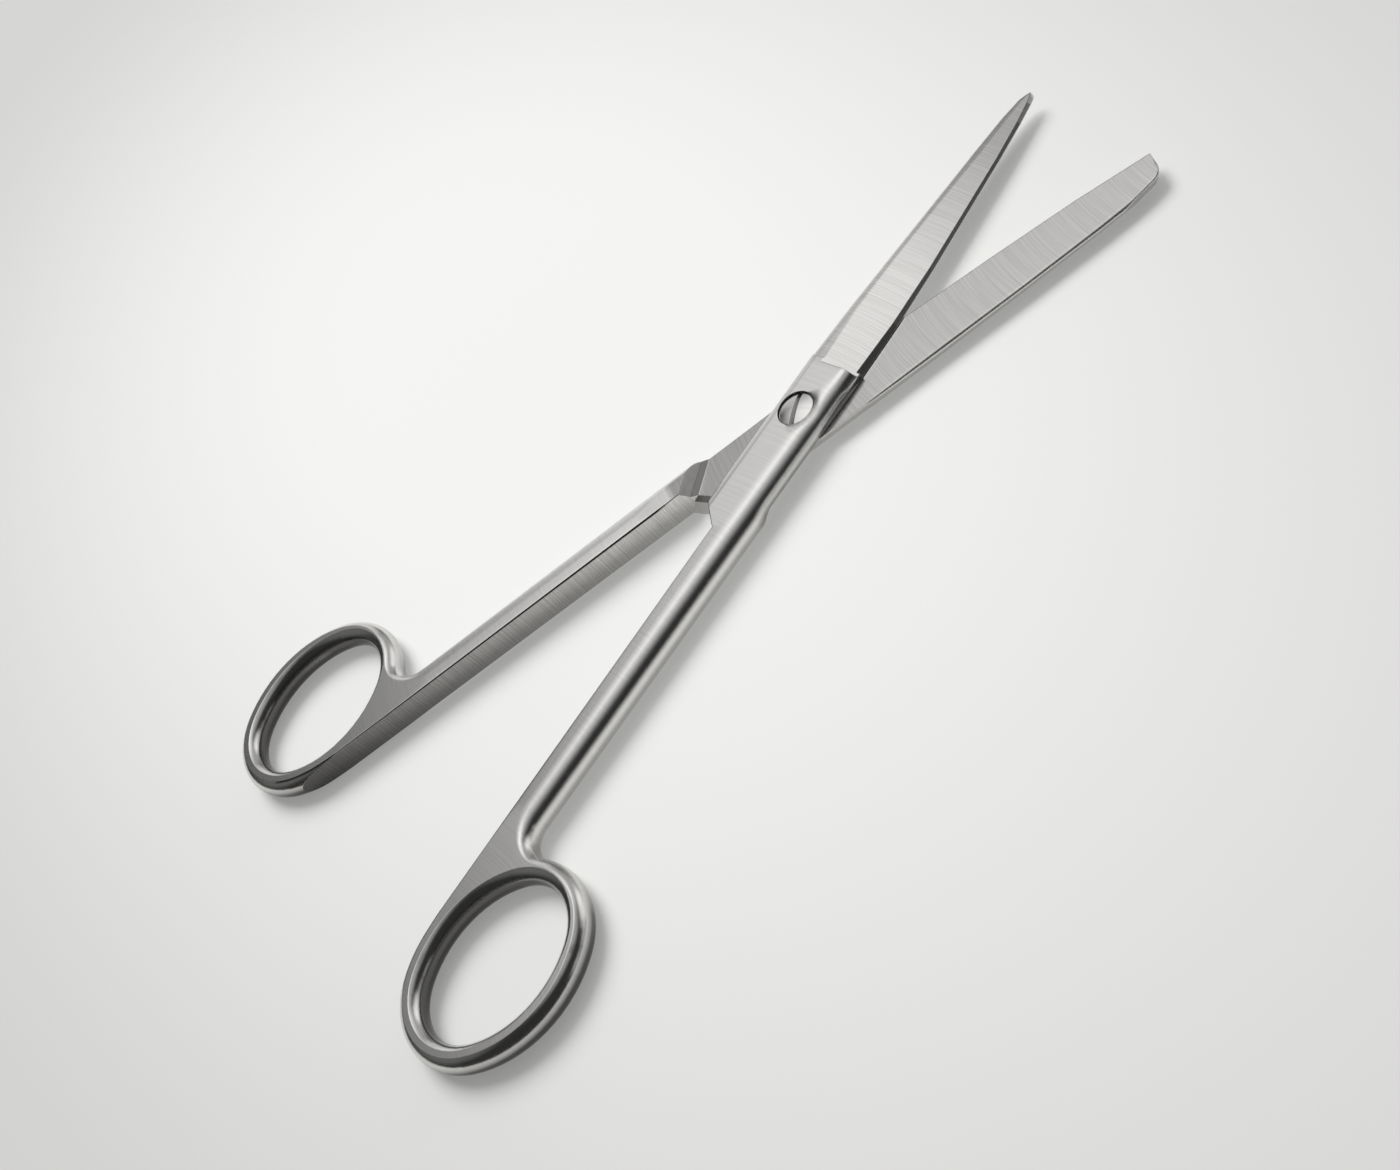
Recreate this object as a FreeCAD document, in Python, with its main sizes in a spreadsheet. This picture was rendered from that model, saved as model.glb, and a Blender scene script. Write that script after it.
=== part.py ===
# Surgical scissors, straight, one sharp and one blunt blade, in millimetres.
# Three pieces: two forged halves that lap at a box joint, and the slotted screw
# that is threaded into the lower half and on whose neck the upper one turns.
#
# Frame: +Z up, the rest surface at Z = 0, the origin under the pivot axis,
# +X along the line that halves the angle between the blades, towards the tips.
#
# Each half is drawn in its own frame first: X along its straight inner flat
# towards the tip, Y across it with the cutting edge on the -Y side, and Z = 0
# on the joint plane. Its blade plate is above that plane, its shoulder below.
# The upper half keeps this attitude and the lower one is rolled over about X.
import FreeCAD, Part
import math
import os
import Sketcher

doc = FreeCAD.newDocument("surgical_scissors")
sheet = doc.addObject("Spreadsheet::Sheet", "Sizes")
UP = FreeCAD.Vector(0, 0, 1)

# Driving sizes: name, value, meaning

SIZES = [
    ("rest_opening", 25.7, "angle between the halves as they lie"),
    ("half_thickness", 2.15, "joint plane to the flat of box and shank"),
    ("joint_gap", 0.06, "running gap between the two joint faces"),
    ("flat_inset", 0.15, "inner flat behind the line through the pivot"),
    ("shank_width", 4.25, "outer side of the shank where it meets the ring"),
    ("shank_end", 60.0, "pivot to the place of that width"),
    ("side_round", 2.1, "rounding of the sides, nearly a half round"),
    ("ring_reach", 77.0, "pivot to the middle of the finger ring"),
    ("ring_offset", 11.2, "pivot line to the middle of the ring"),
    ("ring_turn", 12.5, "angle of the ring's long axis to the shank"),
    ("ring_long", 10.75, "half length of the ring's hole at its waist"),
    ("ring_short", 8.5, "half width of the ring's hole at its waist"),
    ("ring_end_round", 7.4, "radius of that hole's two ends"),
    ("ring_wall", 3.3, "width of the ring's section at its waist"),
    ("ring_set_back", 0.15, "how far the ring's outer side is off centre, away from the shank"),
    ("ring_half_thickness", 1.95, "joint plane to the flat of the ring"),
    ("crotch_round", 3.3, "radius between the shank and the ring"),
    ("web_rise", 5.0, "angle at which the forging's inner side leaves the ring"),
    ("web_bend", 60.0, "radius that levels that side out towards the box"),
    ("shoulder_reach", 18.8, "pivot to the top edge of the shoulder"),
    ("shoulder_turn", 50.0, "angle of the shoulder to the shank"),
    ("shoulder_run", 0.78, "steep face of the shoulder, measured level"),
    ("ramp_height", 0.5, "height of the ramp at the shoulder's foot"),
    ("ramp_run", 0.75, "length of that ramp, measured level"),
    ("shoulder_gap", 0.2, "clearance at the shoulders of the shut halves"),
    ("blade_start", 7.8, "pivot to the place where the box becomes the blade"),
    ("facet_start", 7.2, "pivot to the run-out of the ground facet"),
    ("facet_corner", 1.2, "corner radius of that run-out"),
    ("facet_back", 2.0, "pivot line to that corner, at the back"),
    ("facet_over", 0.5, "same corner at the edge, outside the side of the box"),
    ("crest_width", 0.05, "least width left between the bevel and the rounded back"),
    ("bevel_slope", 0.7, "slope of the bevel behind the cutting edge"),
    ("back_chamfer", 0.3, "chamfer where the inner face meets the back"),
    ("tip_reach", 53.8, "pivot to the sharp tip"),
    ("tip_set_back", 0.35, "how far the blunt blade ends behind that tip"),
    ("tip_turn", 8.0, "slant of that blunt end"),
    ("tip_back", 3.43, "pivot line to the corner of the end and the back"),
    ("tip_fall", 12.0, "angle at which the back falls towards that corner"),
    ("tip_round", 2.15, "radius of that corner"),
    ("tip_ease", 0.4, "how far the wall of that end leans in towards the outer face"),
    ("flat_ease", 0.15, "rounding of the rims of the inner flat"),
    ("neck_radius", 1.6, "neck of the screw, on which the upper half turns"),
    ("neck_gap", 0.05, "running clearance round the neck"),
    ("head_radius", 2.45, "head of the screw"),
    ("head_gap", 0.12, "clearance round the head"),
    ("head_seat", 1.05, "joint plane to the seat under the head"),
    ("head_rim", 1.9, "joint plane to the rim of the head"),
    ("head_crown", 2.2, "joint plane to the top of the domed head"),
    ("slot_width", 0.62, "slot of the screw"),
    ("slot_depth", 0.75, "depth of that slot"),
    ("slot_turn", 35.0, "angle of that slot to the X axis"),
    ("thread_radius", 1.25, "thread of the screw in the lower half"),
    ("thread_gap", 0.02, "radial clearance of that thread"),
]

# What differs between the two halves: whether the blade ends blunt, the outer side
# and the back of the box, the ground facet as a plane (its height above the pivot,
# its fall towards the tip, its tilt to the edge), and the stations of the blade,
# each with its place from the box (0) to the tip (1), its cutting edge, its back,
# its thickness and the rounding of its back.
BLADES = {
    "sharp": {
        "blunt_end": False,
        "box_edge": 4.7,
        "box_back": 4.3,
        "facet": (2.083, 0.0265, 0.241),
        "stations": [
            (0.0, 4.7, 4.15, 2.1, 2.05),
            (0.178, 4.55, 3.75, 2.0, 1.9),
            (0.374, 3.98, 3.2, 1.73, 1.65),
            (0.57, 3.12, 2.65, 1.4, 1.33),
            (0.765, 2.25, 2.13, 1.06, 1.0),
            (0.896, 1.5, 1.65, 0.86, 0.78),
            (0.967, 0.97, 1.1, 0.74, 0.6),
            (0.989, 0.72, 0.6, 0.66, 0.45),
            (1.0, 0.4, 0.1, 0.6, 0.2),
        ],
    },
    "blunt": {
        "blunt_end": True,
        "box_edge": 4.45,
        "box_back": 5.0,
        "facet": (1.92, 0.023, 0.292),
        "stations": [
            (0.0, 4.45, 5.0, 2.1, 1.9),
            (0.243, 3.55, 5.0, 1.88, 1.55),
            (0.504, 2.82, 4.98, 1.62, 1.35),
            (0.765, 1.88, 4.78, 1.34, 1.0),
            (1.009, 0.5, 4.25, 1.1, 0.7),
        ],
    },
}

size = {}
for row, (alias, value, meaning) in enumerate(SIZES, start=1):
    sheet.set(f"A{row}", alias)
    sheet.set(f"B{row}", str(value))
    sheet.set(f"C{row}", meaning)
    sheet.setAlias(f"B{row}", alias)
    size[alias] = value
doc.recompute()


# Helpers

def bind(thing, prop, expression):
    """Tie one property to the sheet; a name in braces is a cell."""
    thing.setExpression(prop, expression.replace("{", "Sizes.").replace("}", ""))


def sketch(name, curves, placement=None):
    """An outline of Part curves whose meeting ends are joined."""
    drawn = doc.addObject("Sketcher::SketchObject", name)
    if placement:
        drawn.Placement = placement
    drawn.addGeometry(curves, False)
    ends = []
    for index, curve in enumerate(curves):
        if hasattr(curve, "StartPoint"):
            ends.append((index, 1, curve.StartPoint))
            ends.append((index, 2, curve.EndPoint))
    for number, (first, first_end, here) in enumerate(ends):
        for second, second_end, there in ends[number + 1:]:
            if first != second and here.distanceToPoint(there) < 1e-6:
                joint = Sketcher.Constraint("Coincident", first, first_end, second, second_end)
                drawn.addConstraint(joint)
    return drawn


def polygon(name, corners, placement=None):
    """A closed outline of straight lines."""
    points = [FreeCAD.Vector(x, y, 0) for x, y in corners]
    lines = [Part.LineSegment(here, there) for here, there in zip(points, points[1:] + points[:1])]
    return sketch(name, lines, placement)


def extrude(name, profile, length, symmetric=True):
    """A solid prism on a sketch, along the sketch's own normal."""
    prism = doc.addObject("Part::Extrusion", name)
    prism.Base = profile
    prism.DirMode = "Normal"
    prism.Solid = True
    prism.Symmetric = symmetric
    if isinstance(length, str):
        bind(prism, "LengthFwd", length)
    else:
        prism.LengthFwd = length
    return prism


def combine(kind, name, base, tool):
    """Two solids cut, joined or intersected."""
    result = doc.addObject(kind, name)
    result.Base = base
    result.Tool = tool
    return result


def fillet(name, base, radius, wanted):
    """Round the edges of a solid that a test picks out."""
    doc.recompute()
    rounded = doc.addObject("Part::Fillet", name)
    rounded.Base = base
    chosen = []
    for index, edge in enumerate(base.Shape.Edges, start=1):
        if wanted(edge):
            chosen.append((index, radius, radius))
    rounded.Edges = chosen
    return rounded


# The plan of one half

def turned(x, y, degrees):
    """A vector turned about the vertical."""
    angle = math.radians(degrees)
    return FreeCAD.Vector(x * math.cos(angle) - y * math.sin(angle),
                          x * math.sin(angle) + y * math.cos(angle), 0)


def ring_arcs(grow, set_back, start=0.0, end=360.0):
    """The ring's oval in four arcs, anticlockwise between two directions of its normal."""
    long = size["ring_long"] + grow - set_back
    short = size["ring_short"] + grow
    tight = size["ring_end_round"] + grow
    wide = (long ** 2 + short ** 2 - 2 * long * tight) / (2 * (short - tight))
    change = math.degrees(math.atan2(wide - short, long - tight))
    turn = -size["ring_turn"]
    middle = FreeCAD.Vector(-size["ring_reach"], -size["ring_offset"], 0) + turned(-set_back, 0, turn)
    quarters = [
        (-change, change, turned(long - tight, 0, turn), tight),
        (change, 180 - change, turned(0, short - wide, turn), wide),
        (180 - change, 180 + change, turned(tight - long, 0, turn), tight),
        (180 + change, 360 - change, turned(0, wide - short, turn), wide),
    ]
    arcs = []
    for lap in (0, 360):
        for first, last, offset, radius in quarters:
            low = max(start, first + lap)
            high = min(end, last + lap)
            if high - low > 1e-6:
                circle = Part.Circle(middle + offset, UP, radius)
                arcs.append(Part.ArcOfCircle(circle, math.radians(low + turn), math.radians(high + turn)))
    return arcs


def crotch(side_from, side_to, arcs):
    """Centre and contacts of the arc that touches the shank's side and the ring."""
    radius = size["crotch_round"]
    direction = (side_to - side_from).normalize()
    outwards = turned(direction.x, direction.y, 90)
    ring = Part.Wire([arc.toShape() for arc in arcs])
    near, far = 0.0, size["ring_reach"]
    for _ in range(60):
        middle = (near + far) / 2
        centre = side_from + direction * middle + outwards * radius
        if ring.distToShape(Part.Vertex(centre))[0] > radius:
            near = middle
        else:
            far = middle
    touch = ring.distToShape(Part.Vertex(centre))[1][0][0]
    return centre, side_from + direction * middle, touch


def arc_between(centre, start, end):
    """Circular arc, anticlockwise from start to end."""
    radius = start.distanceToPoint(centre)
    first = math.atan2(start.y - centre.y, start.x - centre.x)
    last = math.atan2(end.y - centre.y, end.x - centre.x)
    return Part.ArcOfCircle(Part.Circle(centre, UP, radius), first, last)


def blank_outline(name, edge, back):
    """Box, shank and ring in plan; the inner side stands proud of the later flat."""
    inner_rise = size["web_rise"]
    inner_bend = size["web_bend"]
    front = size["blade_start"]
    wall = size["ring_wall"]
    set_back = size["ring_set_back"]
    side_from = FreeCAD.Vector(front, -edge, 0)
    side_to = FreeCAD.Vector(-size["shank_end"], -size["shank_width"], 0)
    centre, leave, meet = crotch(side_from, side_to, ring_arcs(wall, set_back))
    # the inner side leaves the ring as a tangent that rises towards the box
    rising = 90 + inner_rise + size["ring_turn"]
    touching = math.degrees(math.atan2(centre.y - meet.y, centre.x - meet.x)) + size["ring_turn"]
    ring = ring_arcs(wall, set_back, rising, 360 + touching)
    tangent = ring[0].StartPoint
    run = (back - tangent.y) / math.tan(math.radians(inner_rise))
    bend = inner_bend * math.tan(math.radians(inner_rise / 2))
    corner = FreeCAD.Vector(tangent.x + run, back, 0)
    bend_start = corner - turned(bend, 0, inner_rise)
    bend_end = corner + FreeCAD.Vector(bend, 0, 0)
    bend_centre = bend_end - FreeCAD.Vector(0, inner_bend, 0)
    front_back = FreeCAD.Vector(front, back, 0)
    return sketch(name, [
        Part.LineSegment(side_from, leave),
        arc_between(centre, leave, meet),
        *ring,
        Part.LineSegment(tangent, bend_start),
        arc_between(bend_centre, bend_end, bend_start),
        Part.LineSegment(bend_end, front_back),
        Part.LineSegment(front_back, side_from),
    ])


# The tools that shape one half

def shoulder_frame(turn):
    """Sketch plane across the shoulder: X level towards the tip, Y up."""
    place = FreeCAD.Vector(-size["shoulder_reach"], 0, 0)
    spin = FreeCAD.Rotation(UP, turn) * FreeCAD.Rotation(FreeCAD.Vector(1, 0, 0), 90)
    return FreeCAD.Placement(place, spin)


def lap_tool(name):
    """What is taken off below the joint plane, up to the two faces of the shoulder."""
    depth = size["half_thickness"]
    foot = size["shoulder_run"]
    toe = foot + size["ramp_run"]
    plane = size["joint_gap"] / 2
    slope = foot / (depth - size["ramp_height"])
    below = 2 * depth
    profile = polygon(name + "_profile", [
        (-slope * (below - depth), -below),
        (foot, -size["ramp_height"]),
        (toe, plane),
        (4 * size["shank_end"], plane),
        (4 * size["shank_end"], -below),
    ], shoulder_frame(90 - size["shoulder_turn"]))
    return extrude(name, profile, 4 * size["shank_end"])


def inner_tool(name):
    """What is taken off beyond the inner flat, up to the plate's slanted end."""
    depth = size["half_thickness"]
    gap = size["shoulder_gap"]
    foot = gap + size["shoulder_run"]
    toe = foot + size["ramp_run"]
    slope = size["shoulder_run"] / (depth - size["ramp_height"])
    above = 2 * depth
    length = 4 * size["shank_end"]
    profile = polygon(name + "_profile", [
        (-length, -above),
        (toe, -above),
        (toe, 0),
        (foot, size["ramp_height"]),
        (gap - slope * (above - depth), above),
        (-length, above),
    ], shoulder_frame(size["shoulder_turn"] - 90))
    wedge = extrude(name + "_wedge", profile, length)
    side = doc.addObject("Part::Box", name + "_side")
    side.Length = length
    side.Width = length / 4
    side.Height = 4 * depth
    side.Placement.Base.x = -length
    bind(side, "Placement.Base.y", "-{flat_inset}")
    bind(side, "Placement.Base.z", "-2 * {half_thickness}")
    return combine("Part::Common", name, wedge, side)


def side_profile(name):
    """Shank and ring seen from the side, thinner towards the ring."""
    ring = size["ring_half_thickness"]
    slope = (size["half_thickness"] - ring) / (size["ring_reach"] - size["shoulder_reach"])
    reach = size["ring_reach"]
    ahead = size["shank_end"]
    rise = ring + slope * (reach + ahead)
    behind = reach + 2 * size["ring_long"]
    standing = FreeCAD.Placement(FreeCAD.Vector(), FreeCAD.Rotation(FreeCAD.Vector(1, 0, 0), 90))
    profile = polygon(name + "_profile", [
        (-behind, -ring),
        (-reach, -ring),
        (ahead, -rise),
        (ahead, rise),
        (-reach, ring),
        (-behind, ring),
    ], standing)
    return extrude(name, profile, 2 * size["shank_end"])


def rim_plate(name):
    """A plate with the rounded finger hole in it."""
    plate = doc.addObject("Part::Box", name + "_plate")
    plate.Length = 3 * size["ring_reach"]
    plate.Width = size["ring_reach"]
    plate.Placement.Base = FreeCAD.Vector(-1.5 * size["ring_reach"], -size["ring_reach"] / 2, 0)
    bind(plate, "Height", "2 * {half_thickness}")
    bind(plate, "Placement.Base.z", "-{half_thickness}")
    hole = extrude(name + "_hole", sketch(name + "_oval", ring_arcs(0, 0)), "4 * {half_thickness}")
    pierced = combine("Part::Cut", name + "_pierced", plate, hole)

    def on_hole(edge):
        level = abs(abs(edge.CenterOfMass.z) - size["half_thickness"]) < 1e-6
        return level and isinstance(edge.Curve, Part.Circle)
    return fillet(name, pierced, size["side_round"], on_hole)


def blade_form(name, stations):
    """Blade as a loft: straight bevel at the edge, rounded back."""
    sections = []
    below = size["half_thickness"] / 4
    upright = FreeCAD.Rotation(0.5, 0.5, 0.5, 0.5)
    length = size["tip_reach"] - size["blade_start"]
    for number, (share, edge, back, thickness, rounding) in enumerate(stations, start=1):
        reach = size["blade_start"] + share * length
        shelf = FreeCAD.Vector(back - rounding, thickness, 0)
        round_centre = FreeCAD.Vector(back - rounding, thickness - rounding, 0)
        round_foot = FreeCAD.Vector(back, thickness - rounding, 0)
        chamfer = size["back_chamfer"]
        crest = back - rounding - size["crest_width"]
        bevel_top = min(-edge + size["bevel_slope"] * thickness, crest)
        corners = [
            FreeCAD.Vector(back, min(chamfer, 0.8 * (thickness - rounding)), 0),
            FreeCAD.Vector(back - chamfer, 0, 0),
            FreeCAD.Vector(back - chamfer, -below, 0),
            FreeCAD.Vector(-edge, -below, 0),
            FreeCAD.Vector(-edge, 0, 0),
            FreeCAD.Vector(bevel_top, thickness, 0),
        ]
        section = sketch(f"{name}_{number}", [
            Part.LineSegment(round_foot, corners[0]),
            Part.LineSegment(corners[0], corners[1]),
            Part.LineSegment(corners[1], corners[2]),
            Part.LineSegment(corners[2], corners[3]),
            Part.LineSegment(corners[3], corners[4]),
            Part.LineSegment(corners[4], corners[5]),
            Part.LineSegment(corners[5], shelf),
            arc_between(round_centre, round_foot, shelf),
        ], FreeCAD.Placement(FreeCAD.Vector(reach, 0, 0), upright))
        sections.append(section)
    loft = doc.addObject("Part::Loft", name)
    loft.Sections = sections
    loft.Solid = True
    loft.Ruled = True
    return loft


def tip_tool(name, thickness):
    """What is taken off the end of the blunt blade: a slanted end, a rounded corner.

    Its wall leans in towards the outer face of the blade, which is so thick there.
    """
    end = turned(0, 1, size["tip_turn"])
    fall = turned(-1, 0, -size["tip_fall"])
    slant = math.tan(math.radians(size["tip_turn"]))
    reach = size["tip_reach"] - size["tip_set_back"]
    corner = FreeCAD.Vector(reach - size["tip_back"] * slant, size["tip_back"], 0)
    half_corner = math.radians(90 - size["tip_turn"] - size["tip_fall"]) / 2
    tangent = size["tip_round"] * math.tan(half_corner)
    arc_start = corner - end * tangent
    arc_end = corner + fall * tangent
    centre = arc_start + turned(-size["tip_round"], 0, size["tip_turn"])
    far = 2 * size["tip_back"]
    low = corner - end * far
    high = corner + fall * far
    beyond_low = FreeCAD.Vector(reach + far, low.y, 0)
    beyond_high = FreeCAD.Vector(reach + far, high.y, 0)
    outline = sketch(name + "_outline", [
        Part.LineSegment(low, arc_start),
        arc_between(centre, arc_start, arc_end),
        Part.LineSegment(arc_end, high),
        Part.LineSegment(high, beyond_high),
        Part.LineSegment(beyond_high, beyond_low),
        Part.LineSegment(beyond_low, low),
    ])
    tool = extrude(name, outline, "{half_thickness}", symmetric=False)
    tool.TaperAngle = math.degrees(math.atan2(size["tip_ease"], thickness))
    return tool


def facet_tool(name, plane, edge):
    """What the grinding takes off the back of the blade, with its rounded run-out."""
    height, fall, tilt = plane
    start = size["facet_start"]
    corner = size["facet_corner"]
    length = size["shank_end"]
    left = size["facet_back"]
    right = -edge - size["facet_over"]
    normal = FreeCAD.Vector(fall, -tilt, 1).normalize()
    along = FreeCAD.Vector(1, 0, -fall).normalize()
    spin = FreeCAD.Rotation(along, normal.cross(along), normal, "XZY")
    place = FreeCAD.Placement(FreeCAD.Vector(start, 0, height - fall * start), spin)
    points = {
        "left_far": FreeCAD.Vector(length, 2 * left, 0),
        "left_turn": FreeCAD.Vector(2 * corner, 2 * left, 0),
        "left_arc": FreeCAD.Vector(corner, left, 0),
        "left_end": FreeCAD.Vector(0, left - corner, 0),
        "right_end": FreeCAD.Vector(0, right + corner, 0),
        "right_arc": FreeCAD.Vector(corner, right, 0),
        "right_turn": FreeCAD.Vector(2 * corner, 2 * right, 0),
        "right_far": FreeCAD.Vector(length, 2 * right, 0),
    }
    left_centre = FreeCAD.Vector(corner, left - corner, 0)
    right_centre = FreeCAD.Vector(corner, right + corner, 0)
    outline = sketch(name + "_outline", [
        Part.LineSegment(points["left_far"], points["left_turn"]),
        Part.LineSegment(points["left_turn"], points["left_arc"]),
        arc_between(left_centre, points["left_arc"], points["left_end"]),
        Part.LineSegment(points["left_end"], points["right_end"]),
        arc_between(right_centre, points["right_end"], points["right_arc"]),
        Part.LineSegment(points["right_arc"], points["right_turn"]),
        Part.LineSegment(points["right_turn"], points["right_far"]),
        Part.LineSegment(points["right_far"], points["left_far"]),
    ], place)
    return extrude(name, outline, "3 * {half_thickness}", symmetric=False)


def half(name, blade):
    """One half in its own frame, without its pivot hole."""
    edge = blade["box_edge"]
    plan = blank_outline(name + "_plan", edge, blade["box_back"])
    blank = extrude(name + "_blank", plan, "2 * {half_thickness}")

    def on_rim(edge):
        middle = edge.valueAt((edge.FirstParameter + edge.LastParameter) / 2)
        level = abs(abs(middle.z) - size["half_thickness"]) < 1e-6
        return level and middle.x < size["blade_start"] - 1e-6
    rounded = fillet(name + "_rounded", blank, size["side_round"], on_rim)
    ringed = combine("Part::Common", name + "_ringed", rounded, rim_plate(name + "_rim"))
    tapered = combine("Part::Common", name + "_tapered", ringed, side_profile(name + "_side"))
    bladed = combine("Part::Fuse", name + "_bladed", tapered, blade_form(name + "_blade", blade["stations"]))
    lapped = combine("Part::Cut", name + "_lapped", bladed, lap_tool(name + "_lap"))
    flattened = combine("Part::Cut", name + "_flattened", lapped, inner_tool(name + "_inner"))
    facet = facet_tool(name + "_facet", blade["facet"], edge)
    ground = combine("Part::Cut", name + "_ground", flattened, facet)

    def on_flat(edge):
        level = all(abs(end.Y + size["flat_inset"]) < 1e-4 for end in edge.Vertexes)
        behind = all(end.X < 1e-3 - size["shoulder_reach"] for end in edge.Vertexes)
        upright = abs(edge.tangentAt(edge.FirstParameter).z) > 0.5
        return level and behind and isinstance(edge.Curve, Part.Line) and not upright
    eased = fillet(name + "_eased", ground, size["flat_ease"], on_flat)
    if not blade["blunt_end"]:
        return eased
    thickness = blade["stations"][-1][3]
    return combine("Part::Cut", name + "_ended", eased, tip_tool(name + "_tip", thickness))


# The pivot

def cylinder(name, radius, bottom, height):
    """An upright cylinder on the pivot axis, each size an expression."""
    round_bar = doc.addObject("Part::Cylinder", name)
    bind(round_bar, "Radius", radius)
    bind(round_bar, "Height", height)
    bind(round_bar, "Placement.Base.z", bottom)
    return round_bar


def screw(name):
    """Slotted screw: thread, neck and a low domed head, drawn on the joint plane."""
    bottom = -size["half_thickness"]
    seat = -size["joint_gap"] / 2
    under_head = size["head_seat"] + size["joint_gap"] / 2
    head = size["head_radius"]
    rim = FreeCAD.Vector(head, size["head_rim"], 0)
    crown = FreeCAD.Vector(0, size["head_crown"], 0)
    rise = size["head_crown"] - size["head_rim"]
    dome = (head ** 2 + rise ** 2) / (2 * rise)
    dome_centre = FreeCAD.Vector(0, size["head_crown"] - dome, 0)
    corners = [
        FreeCAD.Vector(0, bottom, 0),
        FreeCAD.Vector(size["thread_radius"], bottom, 0),
        FreeCAD.Vector(size["thread_radius"], seat, 0),
        FreeCAD.Vector(size["neck_radius"], seat, 0),
        FreeCAD.Vector(size["neck_radius"], under_head, 0),
        FreeCAD.Vector(head, under_head, 0),
        rim,
    ]
    curves = [Part.LineSegment(here, there) for here, there in zip(corners, corners[1:])]
    curves.append(arc_between(dome_centre, rim, crown))
    curves.append(Part.LineSegment(crown, corners[0]))
    standing = FreeCAD.Placement(FreeCAD.Vector(), FreeCAD.Rotation(FreeCAD.Vector(1, 0, 0), 90))
    turned_bar = doc.addObject("Part::Revolution", name + "_turned")
    turned_bar.Source = sketch(name + "_profile", curves, standing)
    turned_bar.Axis = UP
    turned_bar.Angle = 360
    turned_bar.Solid = True
    slot = doc.addObject("Part::Box", name + "_slot")
    bind(slot, "Length", "3 * {head_radius}")
    bind(slot, "Width", "{slot_width}")
    bind(slot, "Height", "2 * {slot_depth}")
    bind(slot, "Placement.Base.x", "-1.5 * {head_radius}")
    bind(slot, "Placement.Base.y", "-{slot_width} / 2")
    bind(slot, "Placement.Base.z", "{head_crown} - {slot_depth}")
    return combine("Part::Cut", name, turned_bar, slot)


# The three pieces

sharp_half = combine("Part::Cut", "sharp_half", half("sharp", BLADES["sharp"]), combine(
    "Part::Fuse", "sharp_hole",
    cylinder("sharp_bore", "{neck_radius} + {neck_gap}", "-{half_thickness}", "2 * {half_thickness}"),
    cylinder("sharp_seat", "{head_radius} + {head_gap}", "{head_seat}", "2 * {half_thickness}")))
blunt_half = combine("Part::Cut", "blunt_half", half("blunt", BLADES["blunt"]), cylinder(
    "blunt_bore", "{thread_radius} + {thread_gap}", "-{half_thickness}", "3 * {half_thickness}"))
pivot_screw = screw("pivot_screw")

half_angle = size["rest_opening"] / 2
roll_over = FreeCAD.Rotation(FreeCAD.Vector(1, 0, 0), 180)
attitudes = {
    sharp_half: FreeCAD.Rotation(UP, half_angle),
    blunt_half: FreeCAD.Rotation(UP, -half_angle) * roll_over,
    pivot_screw: FreeCAD.Rotation(UP, size["slot_turn"]),
}
for piece, attitude in attitudes.items():
    piece.Label = piece.Name
    piece.Placement = FreeCAD.Placement(FreeCAD.Vector(0, 0, size["half_thickness"]), attitude)
doc.recompute()


# Check and write

for thing in doc.Objects:
    failed = "Invalid" in thing.State or "Error" in thing.State
    if hasattr(thing, "Shape"):
        failed = failed or thing.Shape.isNull() or not thing.Shape.isValid()
    if failed:
        raise RuntimeError(f"{thing.Name} failed: {thing.State}")
os.makedirs("parts", exist_ok=True)
for piece in attitudes:
    piece.Shape.exportStep(f"parts/{piece.Label}.step")
    box = piece.Shape.BoundBox
    print(f"{piece.Label}: {piece.Shape.Volume:.1f} mm3, "
          f"{box.XLength:.1f} x {box.YLength:.1f} x {box.ZLength:.1f} mm")
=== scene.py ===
# %% [markdown]
# # Surgical scissors in satin steel
# Straight operating scissors with one sharp and one blunt blade lie open on a pale
# table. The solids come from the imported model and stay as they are. What is made here
# is the finish of the steel, the table, the light of the studio and the camera.

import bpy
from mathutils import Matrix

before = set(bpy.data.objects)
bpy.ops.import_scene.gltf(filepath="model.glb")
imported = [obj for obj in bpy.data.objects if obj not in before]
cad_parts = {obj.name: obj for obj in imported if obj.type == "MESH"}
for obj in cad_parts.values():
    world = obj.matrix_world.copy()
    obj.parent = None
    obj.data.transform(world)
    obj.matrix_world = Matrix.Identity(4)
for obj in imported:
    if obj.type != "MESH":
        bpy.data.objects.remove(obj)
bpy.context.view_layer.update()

# %% [markdown]
# ## Two helpers
# Colours are written as they look on a screen, in sRGB hex, and Blender wants linear
# numbers, so one function turns the one into the other. A second function adds a node to
# a shader with its settings and its links in one line, which keeps the materials short.

# %% Colour and node helpers
import math
import bpy
from mathutils import Euler, Vector

MM = 0.001


def linear(hex_colour, alpha=1.0):
    """An sRGB hex colour as linear red, green, blue and alpha."""
    parts = [int(hex_colour[i:i + 2], 16) / 255 for i in (1, 3, 5)]
    parts = [c / 12.92 if c <= 0.04045 else ((c + 0.055) / 1.055) ** 2.4 for c in parts]
    return (*parts, alpha)


def add(tree, kind, inputs=None, **settings):
    """Add a node; an input takes a value or another node's output socket."""
    node = tree.nodes.new(kind)
    for name, value in settings.items():
        setattr(node, name, value)
    for name, value in (inputs or {}).items():
        if isinstance(value, bpy.types.NodeSocket):
            tree.links.new(value, node.inputs[name])
        else:
            node.inputs[name].default_value = value
    return node


print("pale grey #EBEBE9 is linear", [round(c, 3) for c in linear("#EBEBE9")])
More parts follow.
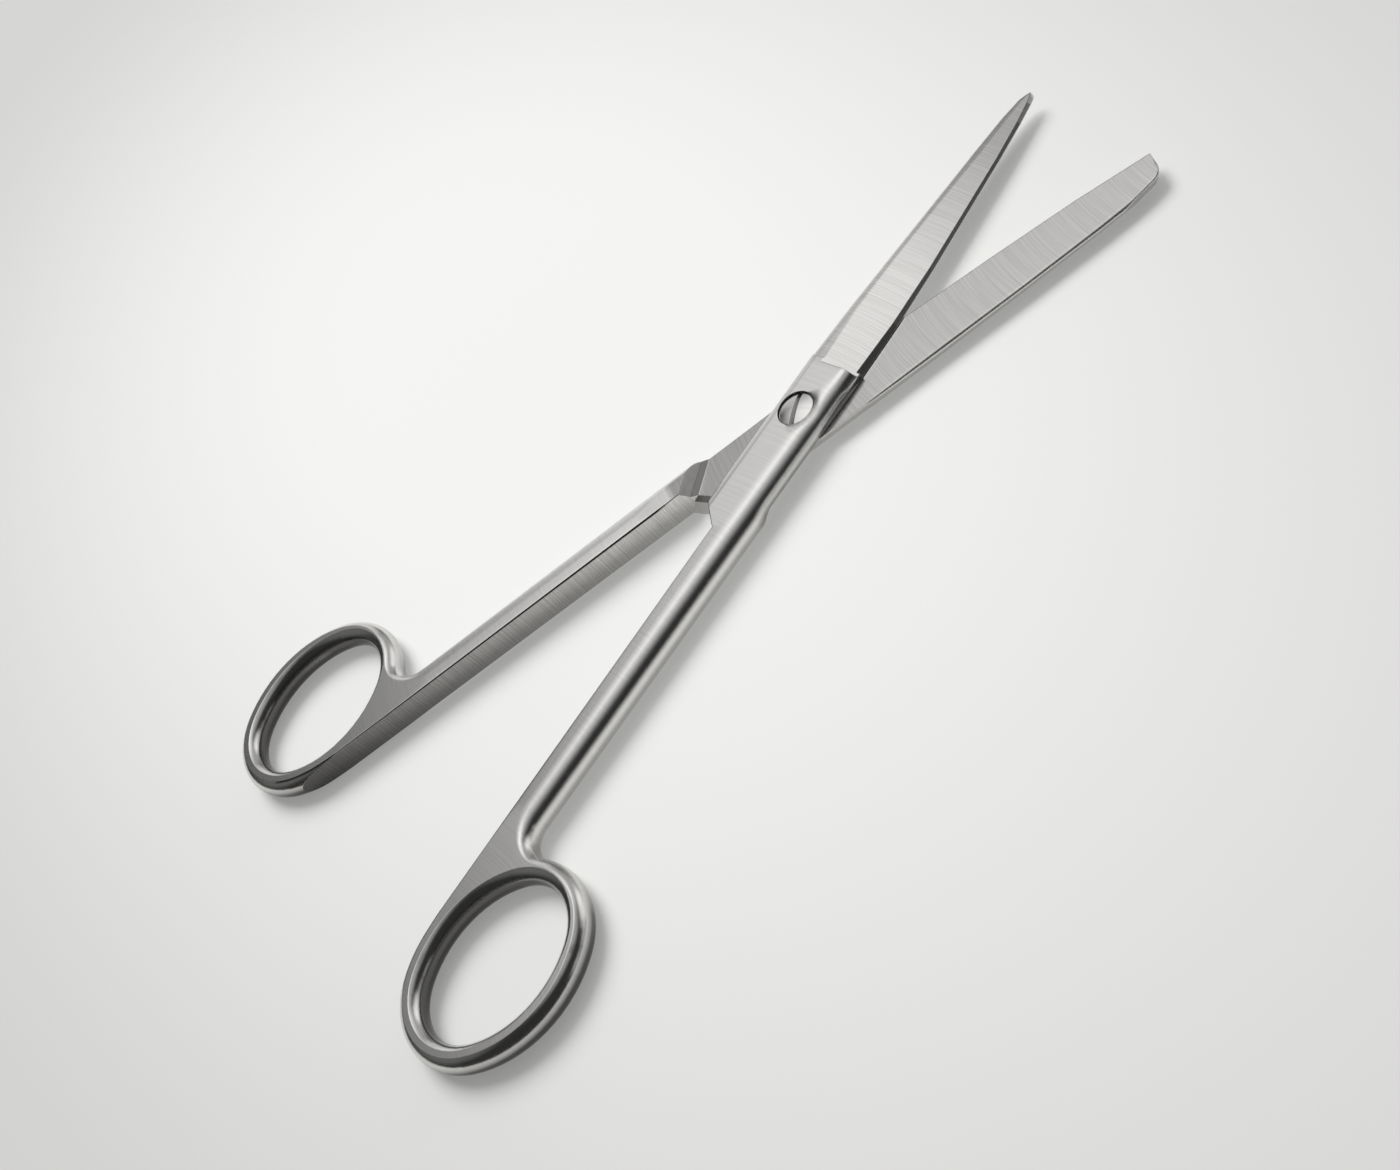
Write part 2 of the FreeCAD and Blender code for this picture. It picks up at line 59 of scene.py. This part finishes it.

# %% [markdown]
# ## Where each finish is
# Each half is one forging, but its regions are worked in different ways: the blades are
# ground, the inner sides of the shanks are left from a belt, and all the rest is
# polished. On some regions shade is painted into the colour: the walls of the ring holes,
# the lower part of the rings and a thin chamfer along the top of the inner sides. The
# regions could be painted, or cut out as separate meshes. Here the shader finds them by
# where a point lies and where its surface faces, so the solids stay whole.
#
# A region has one or more limits: a measure and the two values between which it goes
# from absent to complete. x, y and z are millimetres in a half's own frame: x from the
# pivot to the tip, y towards the inner side of the shank, and z up. up and inward are
# shares of the surface's facing, and level is up or down alike. outward is how far a wall
# faces away from the middle of its ring, in millimetres.

# %% Regions of a half
RING_MIDDLE_MM = (-77.0, -11.2)
FACE_EDGE_MM = 0.5
STOCK_FADE_MM = 3.0
REGIONS = {
    "top": [("level", 0.85, 0.97)],
    # painted shade: the rings are dark below mid-height, where they would mirror their own
    # shadow on the table
    "ring_bottom_painted_shade": [("x", -62.0, -66.0), ("z", 3.3, 2.2)],
    # painted shade: the steep walls of the ring holes are dark, as if they mirrored the
    # shadowed table inside the ring
    "ring_hole_painted_shade": [("x", -62.0, -66.0), ("outward", 0.5, -0.5), ("up", 0.6, 0.3)],
    "ground_face": [("level", 0.90, 0.96)],
    "belt_side": [("inward", 0.97, 0.995), ("x", -12.0, -14.0)],
    # painted shade: a dark line along the top of the inner side, where the edge would mirror
    # the dark room
    "chamfer_painted_shade": [("inward", 0.3, 0.4), ("z", 3.9, 4.05), ("x", -20.0, -22.0), ("y", -3.0, -2.5)],
    "round_stock": [("x", -66.0, -60.0), ("y", -0.2, -1.6)],
    "blade_back": [("x", 8.0, 12.0), ("y", 0.5, 1.5)],
}


def own_frame(tree, turn):
    """Place in millimetres and facing, in the frame of a piece that is turned in plan."""
    source = add(tree, "ShaderNodeTexCoord").outputs
    back = (0, 0, math.radians(-turn))
    place = add(tree, "ShaderNodeMapping", {
        "Vector": source["Object"], "Rotation": back, "Scale": (1 / MM, 1 / MM, 1 / MM),
    }, vector_type="POINT").outputs[0]
    facing = add(tree, "ShaderNodeMapping", {
        "Vector": source["Normal"], "Rotation": back,
    }, vector_type="POINT").outputs[0]
    return place, facing


def measures(tree, place, facing, inner):
    """The measures of REGIONS; inner says where the inner side of the shank faces.

    It is 1 for along the piece's own Y, -1 for against it and 0 where there is none.
    """
    spot = add(tree, "ShaderNodeSeparateXYZ", {"Vector": place}).outputs
    side = add(tree, "ShaderNodeSeparateXYZ", {"Vector": facing}).outputs
    y = add(tree, "ShaderNodeMath", {0: spot["Y"], 1: inner}, operation="MULTIPLY")
    inward = add(tree, "ShaderNodeMath", {0: side["Y"], 1: inner}, operation="MULTIPLY")
    level = add(tree, "ShaderNodeMath", {0: side["Z"]}, operation="ABSOLUTE")
    middle_x, middle_y = RING_MIDDLE_MM
    from_middle = add(tree, "ShaderNodeVectorMath", {
        0: place, 1: (middle_x, middle_y * inner, 0.0)}, operation="SUBTRACT")
    in_plan = add(tree, "ShaderNodeVectorMath", {
        0: facing, 1: (1.0, 1.0, 0.0)}, operation="MULTIPLY")
    outward = add(tree, "ShaderNodeVectorMath", {
        0: from_middle.outputs[0], 1: in_plan.outputs[0]}, operation="DOT_PRODUCT")
    return {
        "x": spot["X"], "y": y.outputs[0], "z": spot["Z"], "up": side["Z"],
        "level": level.outputs[0], "inward": inward.outputs[0],
        "outward": outward.outputs["Value"],
    }


def share(tree, measured, limits):
    """A number that is 1 where all limits are passed and 0 where one isn't reached."""
    total = 1.0
    for name, start, end in limits:
        passed = add(tree, "ShaderNodeMapRange", {
            "Value": measured[name], "From Min": start, "From Max": end})
        total = add(tree, "ShaderNodeMath", {0: passed.outputs[0], 1: total},
                    operation="MULTIPLY").outputs[0]
    return total


print("regions:", ", ".join(REGIONS))

# %% [markdown]
# ## The scratches
# A belt or a wheel leaves fine scratches across a half, slightly bowed, and polishing
# fades them until they only blur what the steel mirrors. They are noise that is squeezed
# along the shank and stretched across it. Real ones are far finer than a pixel, so they
# are drawn as coarse as they need to be to show.

# %% Scratches across a half
GRAIN_MM = 0.20
GRAIN_LENGTH_MM = 16.0
SCRATCH_DEPTH_MM = 0.01
POLISHED_GRAIN = 0.2   # strength of the scratches, where the belt leaves 1
FACE_GRAIN = 0.6
GRAIN_SHADE = 0.26     # how much they darken and brighten the colour
GRAIN_ROUGHNESS = 0.08


def scratches(tree, place, bow):
    """Noise from -0.5 to 0.5, as bowed scratches across a half."""
    spot = add(tree, "ShaderNodeSeparateXYZ", {"Vector": place}).outputs
    square = add(tree, "ShaderNodeMath", {0: spot["Y"], 1: 2.0}, operation="POWER")
    bowed = add(tree, "ShaderNodeMath", {0: square.outputs[0], 1: bow, 2: spot["X"]},
                operation="MULTIPLY_ADD")
    bent = add(tree, "ShaderNodeCombineXYZ", {
        "X": bowed.outputs[0], "Y": spot["Y"], "Z": spot["Z"]})
    stretched = add(tree, "ShaderNodeMapping", {
        "Vector": bent.outputs[0],
        "Scale": (1 / GRAIN_MM, 1 / GRAIN_LENGTH_MM, 1 / GRAIN_LENGTH_MM),
    }, vector_type="POINT")
    noise = add(tree, "ShaderNodeTexNoise", {
        "Vector": stretched.outputs[0], "Scale": 1.0, "Detail": 1.0, "Roughness": 0.6})
    return add(tree, "ShaderNodeMapRange", {
        "Value": noise.outputs["Fac"], "From Min": 0.2, "From Max": 0.8,
        "To Min": -0.5, "To Max": 0.5}).outputs[0]


print("a scratch is drawn", GRAIN_MM, "mm wide and", GRAIN_LENGTH_MM, "mm long")

# %% [markdown]
# ## The steel
# The scissors are satin stainless steel. Steel is a metal, so nearly all of its look
# comes from what it mirrors and how sharply. The regions differ in colour and in how
# rough they are. Shade is painted into the colour of the inner sides of the shanks, which
# darken towards the rings, and of the walls and the lower part of the rings, which are
# darker than their tops. Polishing also rounds the edges, most of all on the outer stock
# of the shanks, and a bevel in the shader gives them that roundness.

# %% Satin stainless steel
ROUGHNESS = (0.19, 0.26)  # polished, and from the belt
EDGE_MM = 0.14            # tumbling leaves every edge this round
STOCK_ROUND_MM = 2.2
BACK_ROUND_MM = 0.5
SIDE_COLOUR = "#DCDBD9"
# painted shade on the lower part of the rings
RING_BOTTOM_SHADE_COLOUR = "#656463"
# painted shade on the walls of the ring holes
RING_HOLE_SHADE_COLOUR = "#5E5D5C"
# painted shade on the chamfer along the top of the inner sides
CHAMFER_SHADE_COLOUR = "#3A3938"
# the inner sides of the shanks go from the belt's colour to painted shade towards the rings
BELT_AND_SHADE_COLOURS = ("#DCDBD9", "#545352")
BELT_SHADE_FADE_MM = (-14.0, -84.0)


def steel_colour(tree, measured, here, polish, face, face_fade):
    """The colour of the polished steel, and over it that of each region, painted shade
    included.
    """
    faded = {}
    for region, span, (first, last) in (
            ("ground_face", face_fade, face), ("belt_side", BELT_SHADE_FADE_MM, BELT_AND_SHADE_COLOURS)):
        faded[region] = add(tree, "ShaderNodeMix", {
            "Factor": share(tree, measured, [("x", *span)]),
            "A": linear(first), "B": linear(last)}, data_type="RGBA").outputs["Result"]
    colour = linear(SIDE_COLOUR)
    for region, finish in (
            ("top", linear(polish)), ("ring_bottom_painted_shade", linear(RING_BOTTOM_SHADE_COLOUR)),
            ("ring_hole_painted_shade", linear(RING_HOLE_SHADE_COLOUR)), ("ground_face", faded["ground_face"]),
            ("belt_side", faded["belt_side"]), ("chamfer_painted_shade", linear(CHAMFER_SHADE_COLOUR))):
        colour = add(tree, "ShaderNodeMix", {
            "Factor": here[region], "A": colour, "B": finish},
            data_type="RGBA").outputs["Result"]
    return colour


def rounded_normal(tree, here):
    """The facing with rounded edges: wide on the stock and the backs of the blades."""
    radius = EDGE_MM * MM
    for region, round_mm in (("round_stock", STOCK_ROUND_MM), ("blade_back", BACK_ROUND_MM)):
        wide = add(tree, "ShaderNodeMapRange", {
            "Value": here[region], "To Min": EDGE_MM * MM, "To Max": round_mm * MM})
        radius = add(tree, "ShaderNodeMath", {0: radius, 1: wide.outputs[0]},
                     operation="MAXIMUM").outputs[0]
    return add(tree, "ShaderNodeBevel", {"Radius": radius}, samples=8).outputs[0]


def satin_steel(name, turn, bow, inner, stock_end, polish, face, face_start, face_fade):
    """Stainless steel of a piece that lies turned in plan.

    The round stock reaches to stock_end. The ground faces begin at face_start and change
    from the first to the second colour of face over the stretch face_fade; this
    change is painted light and shade along the faces.
    """
    material = bpy.data.materials.new(name)
    material.use_nodes = True
    tree = material.node_tree
    tree.nodes.clear()
    place, facing = own_frame(tree, turn)
    measured = measures(tree, place, facing, inner)
    own_limits = {
        "ground_face": [("x", face_start - FACE_EDGE_MM, face_start + FACE_EDGE_MM)],
        "round_stock": [("x", stock_end, stock_end - STOCK_FADE_MM)],
    }
    here = {region: share(tree, measured, limits + own_limits.get(region, []))
            for region, limits in REGIONS.items()}

    # the scratches show most where the steel is left from the belt
    strength = add(tree, "ShaderNodeMath", {
        0: here["ground_face"], 1: FACE_GRAIN - POLISHED_GRAIN, 2: POLISHED_GRAIN,
    }, operation="MULTIPLY_ADD").outputs[0]
    strength = add(tree, "ShaderNodeMath", {0: strength, 1: here["belt_side"]},
                   operation="MAXIMUM").outputs[0]
    depth = add(tree, "ShaderNodeMath", {0: scratches(tree, place, bow), 1: strength},
                operation="MULTIPLY").outputs[0]
    brightness = add(tree, "ShaderNodeMapRange", {
        "Value": depth, "From Min": -0.5, "From Max": 0.5,
        "To Min": 1 - GRAIN_SHADE, "To Max": 1 + GRAIN_SHADE}).outputs[0]
    colour = add(tree, "ShaderNodeVectorMath", {
        0: steel_colour(tree, measured, here, polish, face, face_fade), "Scale": brightness,
    }, operation="SCALE").outputs[0]
    polished, belted = ROUGHNESS
    rough = add(tree, "ShaderNodeMapRange", {
        "Value": strength, "From Min": POLISHED_GRAIN, "From Max": 1.0,
        "To Min": polished, "To Max": belted}).outputs[0]
    rough = add(tree, "ShaderNodeMath", {0: depth, 1: GRAIN_ROUGHNESS, 2: rough},
                operation="MULTIPLY_ADD").outputs[0]
    bump = add(tree, "ShaderNodeBump", {
        "Height": depth, "Strength": 0.1, "Distance": SCRATCH_DEPTH_MM * MM,
        "Normal": rounded_normal(tree, here)}).outputs[0]
    shader = add(tree, "ShaderNodeBsdfPrincipled", {
        "Base Color": colour, "Metallic": 1.0, "Roughness": rough, "Normal": bump})
    add(tree, "ShaderNodeOutputMaterial", {"Surface": shader.outputs[0]})
    return material


print("roughness of the polish and of the belt:", ROUGHNESS)

# %% [markdown]
# ## A finish for each piece
# In the photograph the blunt half is a little brighter than the sharp one. The ground
# faces start in front of the screw on the sharp half, and behind it on the blunt half,
# whose box is ground too. The screw is turned, and has neither an inner side nor a blade.

# %% Steel of the three pieces
REST_ANGLE = 25.7      # between the halves as they lie on the table

finishes = {
    "sharp_half": satin_steel(
        "stainless_steel_satin_sharp", turn=REST_ANGLE / 2, bow=0.015, inner=1.0,
        # painted shade: the sharp half's ground faces darken towards the tip
        stock_end=7.0, polish="#D4D3D1", face=("#C4C3C1", "#999897"),
        face_start=7.0, face_fade=(22.0, 46.0)),
    "blunt_half": satin_steel(
        # painted light: the blunt half's polish is lighter than the sharp half's, though both
        # are one steel
        "stainless_steel_satin_blunt", turn=-REST_ANGLE / 2, bow=-0.015, inner=-1.0,
        # painted light: the blunt half's ground faces are lighter on the blade than on the box
        stock_end=-22.0, polish="#E2E1DF", face=("#ADACAA", "#BFBEBC"),
        face_start=-19.5, face_fade=(-2.0, 10.0)),
    "pivot_screw": satin_steel(
        "stainless_steel_turned_screw", turn=35.0, bow=0.0, inner=0.0,
        stock_end=-60.0, polish="#CCCBC9", face=("#CCCBC9", "#CCCBC9"),
        face_start=50.0, face_fade=(0.0, 1.0)),
}
for node_name, finish in finishes.items():
    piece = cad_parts[node_name]
    piece.data.materials.clear()
    piece.data.materials.append(finish)
    print(node_name, "has", finish.name)

# %% [markdown]
# ## The table
# The scissors lie on a seamless pale sheet of matt paper, which has no shine. A wide
# plane just under them takes the light and the shadow. Part of its tone is a light of
# its own, which the camera and the mirroring steel see but which lights nothing: it keeps
# the shadow pale, as in the photograph. A pool of light is painted on the sheet: it is
# palest in an ellipse that looks like a circle in the picture and darker outside it.

# %% Pale table
TABLE_SIZE = 6.0
TABLE_DROP_MM = 0.02
OWN_SHARE = 0.35
OVAL_MIDDLE_MM = (-17.6, 53.4)
OVAL_HALF_MM = (183.0, 108.0)
OVAL_TURN = 93.8
SHEET_COLOUR = "#EFEFED"
# from where to where, in sizes of the ellipse, the painted light fades to a darker colour
SHEET_PAINTED_FALLOFF = [
    (0.2, 1.3, "SMOOTHSTEP", "#CDCDCB"),
    (1.4, 3.0, "LINEAR", "#ABABA9"),
]


def pooled_sheet_colour(tree):
    """Palest in the middle of the picture: a painted pool of light."""
    middle_x, middle_y = OVAL_MIDDLE_MM
    half_x, half_y = OVAL_HALF_MM
    oval = add(tree, "ShaderNodeMapping", {
        "Vector": add(tree, "ShaderNodeTexCoord").outputs["Object"],
        "Location": (middle_x * MM, middle_y * MM, 0.0),
        "Rotation": (0, 0, math.radians(OVAL_TURN)),
        "Scale": (half_x * MM, half_y * MM, 1.0),
    }, vector_type="TEXTURE")
    off_middle = add(tree, "ShaderNodeVectorMath", {0: oval.outputs[0]}, operation="LENGTH")
    colour = linear(SHEET_COLOUR)
    for start, end, curve, darker in SHEET_PAINTED_FALLOFF:
        fade = add(tree, "ShaderNodeMapRange", {
            "Value": off_middle.outputs["Value"], "From Min": start, "From Max": end,
        }, interpolation_type=curve)
        colour = add(tree, "ShaderNodeMix", {
            "Factor": fade.outputs[0], "A": colour, "B": linear(darker)},
            data_type="RGBA").outputs["Result"]
    return colour


def pale_table():
    """A wide sheet just under the scissors."""
    bpy.ops.mesh.primitive_plane_add(size=TABLE_SIZE, location=(0, 0, -TABLE_DROP_MM * MM))
    sheet = bpy.context.object
    sheet.name = "table"
    material = bpy.data.materials.new("paper_matt_table")
    material.use_nodes = True
    tree = material.node_tree
    tree.nodes.clear()
    colour = pooled_sheet_colour(tree)
    ray = add(tree, "ShaderNodeLightPath").outputs
    seen = ray["Is Camera Ray"]
    for kind in ("Is Glossy Ray", "Is Transmission Ray"):
        seen = add(tree, "ShaderNodeMath", {0: seen, 1: ray[kind]},
                   operation="MAXIMUM").outputs[0]
    strength = add(tree, "ShaderNodeMath", {0: seen, 1: OWN_SHARE}, operation="MULTIPLY")
    own = add(tree, "ShaderNodeEmission", {"Color": colour, "Strength": strength.outputs[0]})
    lit_colour = add(tree, "ShaderNodeVectorMath", {0: colour, "Scale": 1 - OWN_SHARE},
                     operation="SCALE")
    paper = add(tree, "ShaderNodeBsdfDiffuse", {"Color": lit_colour.outputs[0]})
    both = add(tree, "ShaderNodeAddShader", {0: paper.outputs[0], 1: own.outputs[0]})
    add(tree, "ShaderNodeOutputMaterial", {"Surface": both.outputs[0]})
    sheet.data.materials.append(material)
    return sheet


table = pale_table()
print("table", tuple(round(v, 2) for v in table.dimensions))

# %% [markdown]
# ## The light
# Steel is lit by what it mirrors. The tops are bright because a wide soft light stands
# behind the scissors and to the right, and the round sides that turn to the near left
# are dark because the room is dark there. These soft lights have no hard border, so each
# is drawn on the world as a glow round one direction. A key lamp from the upper left
# gives the shadow to the lower right. Real steel would show it as a streak that the
# photograph doesn't have, so mirror rays don't see it.

# %% Studio light
ROOM_BRIGHTNESS = 0.03
# azimuth and elevation, inner and outer angle, brightness where 1 is white
SOFT_LIGHTS = [
    (70, 56, 4, 33, 0.95),
    (30, 76, 8, 42, 0.45),
    (80, 14, 4, 24, 0.8),
    (8, 14, 4, 28, 0.9),
    (336, 8, 3, 16, 0.4),
    (312, 9, 3, 12, 0.4),
    (38, 24, 8, 30, 0.4),
    (158, 42, 10, 42, 0.12),
]


def direction(azimuth, elevation):
    """The unit vector towards a place in the room; the angles are in degrees."""
    a, e = math.radians(azimuth), math.radians(elevation)
    return Vector((math.cos(a) * math.cos(e), math.sin(a) * math.cos(e), math.sin(e)))


def glow(tree, ray, azimuth, elevation, inner, outer, bright):
    """Brightness that falls from an inner to an outer angle round one direction."""
    near = add(tree, "ShaderNodeVectorMath", {0: ray, 1: direction(azimuth, elevation)},
               operation="DOT_PRODUCT")
    return add(tree, "ShaderNodeMapRange", {
        "Value": near.outputs["Value"], "From Min": math.cos(math.radians(outer)),
        "From Max": math.cos(math.radians(inner)), "To Min": 0.0, "To Max": bright,
    }, interpolation_type="SMOOTHSTEP").outputs[0]


def studio():
    """The room round the table, with its soft lights."""
    world = bpy.data.worlds.new("studio")
    bpy.context.scene.world = world
    world.use_nodes = True
    tree = world.node_tree
    tree.nodes.clear()
    ray = add(tree, "ShaderNodeTexCoord").outputs["Generated"]
    total = ROOM_BRIGHTNESS
    for light in SOFT_LIGHTS:
        total = add(tree, "ShaderNodeMath", {0: glow(tree, ray, *light), 1: total},
                    operation="ADD").outputs[0]
    room = add(tree, "ShaderNodeBackground", {"Color": linear("#FFFFFF"), "Strength": total})
    add(tree, "ShaderNodeOutputWorld", {"Surface": room.outputs[0]})
    return world


def key_lamp(azimuth, elevation, distance, size, power):
    """The lamp that throws the shadow."""
    lamp = bpy.data.lights.new("key_lamp", "AREA")
    lamp.shape = "DISK"
    lamp.size = size
    lamp.energy = power
    holder = bpy.data.objects.new("key_lamp", lamp)
    holder.location = direction(azimuth, elevation) * distance
    holder.rotation_euler = (-holder.location).to_track_quat("-Z", "Y").to_euler()
    holder.visible_glossy = False
    bpy.context.scene.collection.objects.link(holder)
    return holder


print("world", studio().name)
key = key_lamp(azimuth=88, elevation=50, distance=4.0, size=2.7, power=164.0)
print("key lamp at", tuple(round(v, 2) for v in key.location))

# %% [markdown]
# ## The camera
# The lens and the place of the camera were worked out from the outline of the scissors
# in the picture, which has 1400 by 1170 pixels: the view is from the near side, 45
# degrees down, and rolled so that the blades point to the upper right.

# %% Camera
CAMERA_MM = (-26.09, -175.58, 165.86)
CAMERA_TURN = (35.801, 30.513, -35.699)

lens = bpy.data.cameras.new("camera")
lens.lens = 48.51
lens.sensor_width = 36.0
lens.clip_start = 0.01
lens.clip_end = 20.0
camera = bpy.data.objects.new("camera", lens)
camera.location = Vector(CAMERA_MM) * MM
camera.rotation_euler = Euler([math.radians(angle) for angle in CAMERA_TURN], "XYZ")
bpy.context.scene.collection.objects.link(camera)
bpy.context.scene.camera = camera
bpy.context.scene.view_settings.view_transform = "Standard"
print("camera at", tuple(round(v, 3) for v in camera.location))
